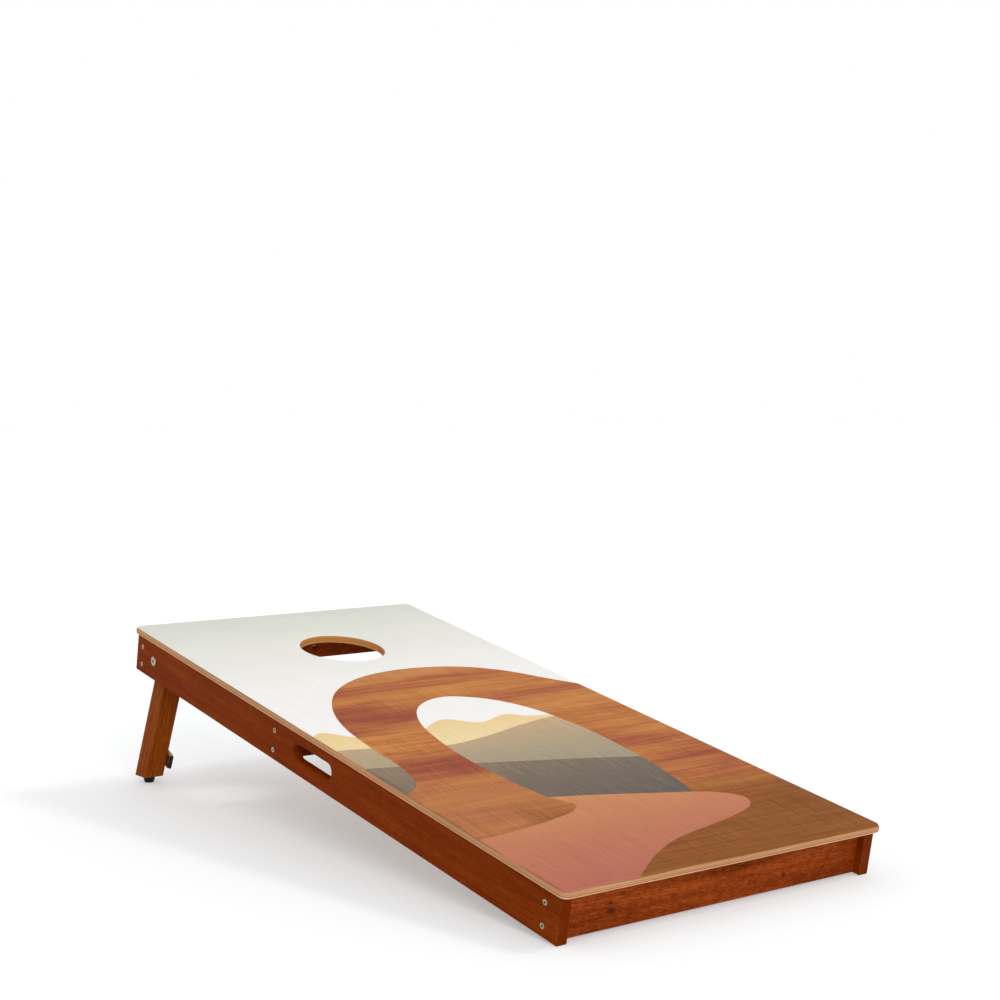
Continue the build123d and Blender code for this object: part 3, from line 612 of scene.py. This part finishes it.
def make_picture():
    """The printed film as one thin closed mesh, cut along the outlines of the picture."""
    rims = [rounded_outline(inset) for inset in rim_insets(DECK_EDGE_ROUND)]
    hole_rims = [hole_outline(inset) for inset in rim_insets(HOLE_EDGE_ROUND)]
    regions = picture_regions()
    outlines = [rims[0], hole_rims[0], *regions, *rims[1:], *hole_rims[1:]]
    # Areas are numbered like the outlines: the film, its hole, and then the picture's regions.
    film, hole = 0, 1
    last_region = hole + len(regions)
    points, faces = [], []
    for outline in outlines:
        faces.append(list(range(len(points), len(points) + len(outline))))
        points += [Vector(point) for point in outline]
    cut = delaunay_2d_cdt(points, [], faces, INSIDE_ONLY, SAME_POINT)
    places, triangles, areas_of_triangles = cut[0], cut[2], cut[-1]
    mesh = bmesh.new()
    corners = []
    for x, y in places:
        corners.append(mesh.verts.new((x * MM, y * MM, film_height(x * MM, y * MM, SHEET_THICKNESS))))
    for triangle, areas in zip(triangles, areas_of_triangles):
        if film not in areas or hole in areas:
            continue
        face = mesh.faces.new([corners[i] for i in triangle])
        foremost = max(area for area in areas if area <= last_region)
        face.material_index = max(foremost - hole, 0)
    bmesh.ops.delete(mesh, geom=[v for v in mesh.verts if not v.link_faces], context="VERTS")
    bmesh.ops.recalc_face_normals(mesh, faces=mesh.faces)
    lower = bmesh.ops.extrude_face_region(mesh, geom=mesh.faces[:], use_keep_orig=True)
    for vertex in lower["geom"]:
        if isinstance(vertex, bmesh.types.BMVert):
            vertex.co.z = film_height(vertex.co.x, vertex.co.y, FILM_GAP)
    mesh.transform(board)
    bmesh.ops.recalc_face_normals(mesh, faces=mesh.faces)
    data = bpy.data.meshes.new("printed_picture")
    mesh.to_mesh(data)
    mesh.free()
    for material in picture_materials():
        data.materials.append(material)
    picture = bpy.data.objects.new("printed_picture", data)
    bpy.context.collection.objects.link(picture)
    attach(picture, "frame")
    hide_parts("printed_sheet")


# ---------------------------------------------------------------- metal, rubber and magnet
# Near-black tint of the painted shade in recesses, such as the screw drives and the gaps between parts.
RECESS_SHADE_TINT = colour(26, 20, 16)
STEEL_NAMES = ("screw", "washer", "bolt", "nut", "strike")


def metal(name, clean, stained, roughness, edge):
    """Plated metal with fine scratches, dull patches, bright edges and painted shade in its recesses."""
    material, tree, shader = new_material(name, roughness, 1.0)
    at = local_coords(tree, Matrix.Identity(4))
    cloud = noise(tree, at, (180, 180, 180), detail=4)
    scratch = noise(tree, at, (2400, 500, 2400), detail=3)
    tint = mixed(tree, between(tree, cloud, 0.42, 0.7, 0.0, 0.8), clean, stained)
    tint = mixed(tree, maths(tree, "MULTIPLY", edge_mask(tree, 0.5 * MM), 0.7), tint, edge)
    # Painted shade: recesses are darkened towards the near-black tint.
    tint = mixed(tree, recess_shade(tree, 4.0 * MM), tint, RECESS_SHADE_TINT)
    plug(tree, shader.inputs["Base Color"], tint)
    dulled = between(tree, cloud, 0.3, 0.7, roughness - 0.06, roughness + 0.12)
    plug(tree, shader.inputs["Roughness"], dulled)
    add_bump(tree, shader, scratch, 0.02 * MM, 0.4)
    return material


def moulded(name, dark, light, roughness, grain, depth):
    """Moulded or sintered material with a fine speckle."""
    material, tree, shader = new_material(name, roughness)
    at = local_coords(tree, Matrix.Identity(4))
    speckle = noise(tree, at, (grain, grain, grain), detail=4, rough=0.7)
    dust = noise(tree, at, (60, 60, 60), detail=3)
    tint = ramp(tree, speckle, [(0.35, dark), (0.75, light)])
    tint = mixed(tree, between(tree, dust, 0.5, 0.8, 0.0, 0.25), tint, light)
    tint = mixed(tree, maths(tree, "MULTIPLY", edge_mask(tree, 0.8 * MM), 0.4), tint, light)
    plug(tree, shader.inputs["Base Color"], tint)
    worn = between(tree, dust, 0.3, 0.7, roughness - 0.08, roughness + 0.1)
    plug(tree, shader.inputs["Roughness"], worn)
    shader.inputs["Specular IOR Level"].default_value = 0.15
    add_bump(tree, shader, speckle, depth, 0.6)
    return material


def paint(node, material):
    """Gives a CAD node one material."""
    slots = nodes[node].material_slots
    if not slots:
        nodes[node].data.materials.append(material)
    for slot in slots:
        slot.material = material


def dress_hardware():
    """Gives the fasteners, catches and feet their metal, rubber and magnet looks."""
    zinc = metal("zinc_plate", colour(176, 164, 144), colour(112, 100, 84), 0.36, colour(206, 196, 178))
    bronze = metal("bronze_plate", colour(156, 130, 92), colour(90, 72, 50), 0.42, colour(190, 168, 130))
    rubber = moulded("foot_rubber", colour(8, 8, 8), colour(32, 31, 30), 0.66, 1800, 0.08 * MM)
    magnet = moulded("magnet_black", colour(14, 11, 8), colour(50, 42, 34), 0.5, 2600, 0.03 * MM)
    for name in nodes:
        if any(word in name for word in STEEL_NAMES):
            paint(name, zinc)
        elif name.startswith("catch_housing"):
            paint(name, bronze)
        elif name.startswith("catch_magnet"):
            paint(name, magnet)
        elif name.startswith("rubber_foot"):
            paint(name, rubber)


# ---------------------------------------------------------------- floor and light
FLOOR_REACH = 60.0
FLOOR_DROP = 0.3 * MM
FLOOR_TINT = (0.49, 0.498, 0.502, 1)
FLOOR_GLOW = 0.35


def make_floor():
    """A plain pale floor under the object, slightly self-lit to keep its shadows soft."""
    data = bpy.data.meshes.new("floor")
    mesh = bmesh.new()
    bmesh.ops.create_grid(mesh, x_segments=2, y_segments=2, size=FLOOR_REACH)
    mesh.to_mesh(data)
    mesh.free()
    floor = bpy.data.objects.new("floor", data)
    floor.location.z = -FLOOR_DROP
    bpy.context.collection.objects.link(floor)
    material, tree, shader = new_material("pale_floor", 0.7)
    shader.inputs["Base Color"].default_value = FLOOR_TINT
    shader.inputs["Specular IOR Level"].default_value = 0.05
    shader.inputs["Emission Color"].default_value = WHITE
    shader.inputs["Emission Strength"].default_value = FLOOR_GLOW
    data.materials.append(material)


def sun_light(name, direction, strength, softness):
    """Even light along a direction. Softness is the sun's angular size in degrees."""
    data = bpy.data.lights.new(name, "SUN")
    data.energy = strength
    data.angle = math.radians(softness)
    light = bpy.data.objects.new(name, data)
    light.rotation_euler = Vector(direction).to_track_quat("-Z", "Y").to_euler()
    bpy.context.collection.objects.link(light)


def make_light():
    """A white surround with two soft suns, which light the object like a studio."""
    world = bpy.data.worlds.new("studio")
    world.use_nodes = True
    background = world.node_tree.nodes["Background"]
    background.inputs["Color"].default_value = WHITE
    background.inputs["Strength"].default_value = 1.0
    bpy.context.scene.world = world
    sun_light("right_light", (-0.75, 0.35, -1.0), 0.8, 12)
    sun_light("front_light", (0.35, 0.88, -0.4), 1.4, 24)
    bpy.context.scene.view_settings.view_transform = "Standard"


make_camera()
dress_timber()
paint("deck", plywood())
dress_hardware()
make_picture()
make_floor()
make_light()
